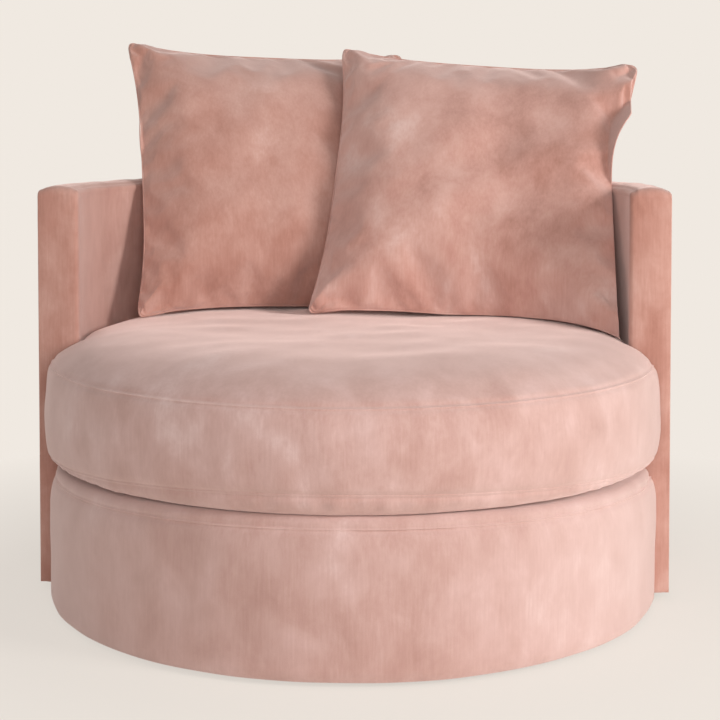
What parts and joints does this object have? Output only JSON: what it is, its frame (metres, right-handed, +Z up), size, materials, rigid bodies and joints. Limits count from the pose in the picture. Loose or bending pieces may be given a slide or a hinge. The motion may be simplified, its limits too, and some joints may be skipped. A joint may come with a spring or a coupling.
{
  "type": "cuddle chair",
  "caption": "Round velvet cuddle chair: drum base on a hidden swivel, thick round loose seat cushion, low curved tub of back and arms, and square scatter pillows leaning on the back.",
  "frame": {"origin": "on the swivel axis, at the floor under the middle glide pad", "axes": "+Z up along the swivel axis; the seat's open front faces -Y; +X to the right of someone looking at the front"},
  "size_m": [1.1999, 1.1827, 1.0891],
  "materials": {
    "velvet": "short-pile velvet, brushed in patches",
    "foam": "open-cell foam",
    "fibre_fill": "fibre and feather filling in a cotton case",
    "plywood": "bare birch plywood",
    "timber": "planed softwood",
    "hardboard": "thin fibreboard",
    "webbing": "woven elastic webbing",
    "black_cloth": "black non-woven cloth",
    "race_steel": "zinc-plated steel",
    "fastener_steel": "zinc-plated steel",
    "cage_plastic": "moulded nylon",
    "glide_rubber": "dense non-marking rubber",
    "zip_tape": "woven zip tape with closed coil"
  },
  "bodies": {
    "floor_base": {"glide_pads": "glide_rubber", "plinth": "plywood", "plinth_screws": "fastener_steel", "swivel_lower_plate": "race_steel"},
    "ball_ring": {"bearing_balls": "race_steel", "ball_cage": "cage_plastic"},
    "seat_cushion": {"seat_cushion_cover": "velvet", "seat_cushion_wrap": "fibre_fill", "seat_cushion_core": "foam", "seat_cushion_zip": "zip_tape"},
    "left_pillow": {"left_pillow_cover": "velvet", "left_pillow_pad": "fibre_fill"},
    "right_pillow": {"right_pillow_cover": "velvet", "right_pillow_pad": "fibre_fill"},
    "chair": {"swivel_upper_plate": "race_steel", "swivel_screws": "fastener_steel", "base_bottom_panel": "plywood", "base_top_ring": "plywood", "base_rear_posts": "timber", "base_front_posts": "timber", "base_rear_panel": "plywood", "base_front_panel": "plywood", "underside_cloth": "black_cloth", "shell_bolts": "fastener_steel", "webbing_lengthwise": "webbing", "webbing_crosswise": "webbing", "deck_pad": "foam", "deck_cloth": "velvet", "deck_border_cover": "velvet", "base_front_foam": "foam", "base_front_cover": "velvet", "shell_bottom_ring": "plywood", "shell_seat_ring": "plywood", "shell_top_ring": "plywood", "shell_lower_struts": "timber", "shell_upper_struts": "timber", "shell_inner_board": "hardboard", "shell_outer_board": "hardboard", "arm_front_board_left": "plywood", "arm_front_board_right": "plywood", "shell_inner_foam": "foam", "shell_outer_wadding": "fibre_fill", "shell_top_pad": "foam", "arm_front_pads": "foam", "shell_inner_cover": "velvet", "shell_outer_cover": "velvet", "shell_border_strip": "velvet"}
  },
  "joints": [
    {"name": "chair_swivel", "type": "hinge", "parent": "floor_base", "child": "chair", "pos_m": [0, 0, 0.028], "axis": [0, 0, 1], "continuous": true},
    {"name": "ball_ring_turn", "type": "hinge", "parent": "floor_base", "child": "ball_ring", "pos_m": [0, 0, 0.028], "axis": [0, 0, 1], "continuous": true},
    {"name": "seat_cushion_lift", "type": "slide", "parent": "chair", "child": "seat_cushion", "axis": [0, 0, 1], "range_m": [0, 0.25]},
    {"name": "left_pillow_lift", "type": "slide", "parent": "seat_cushion", "child": "left_pillow", "axis": [0, 0, 1], "range_m": [0, 0.3]},
    {"name": "right_pillow_lift", "type": "slide", "parent": "left_pillow", "child": "right_pillow", "axis": [0, 0, 1], "range_m": [0, 0.3]}
  ],
  "couplings": [
    {"joint": "ball_ring_turn", "follows": "chair_swivel", "ratio": 0.5}
  ]
}
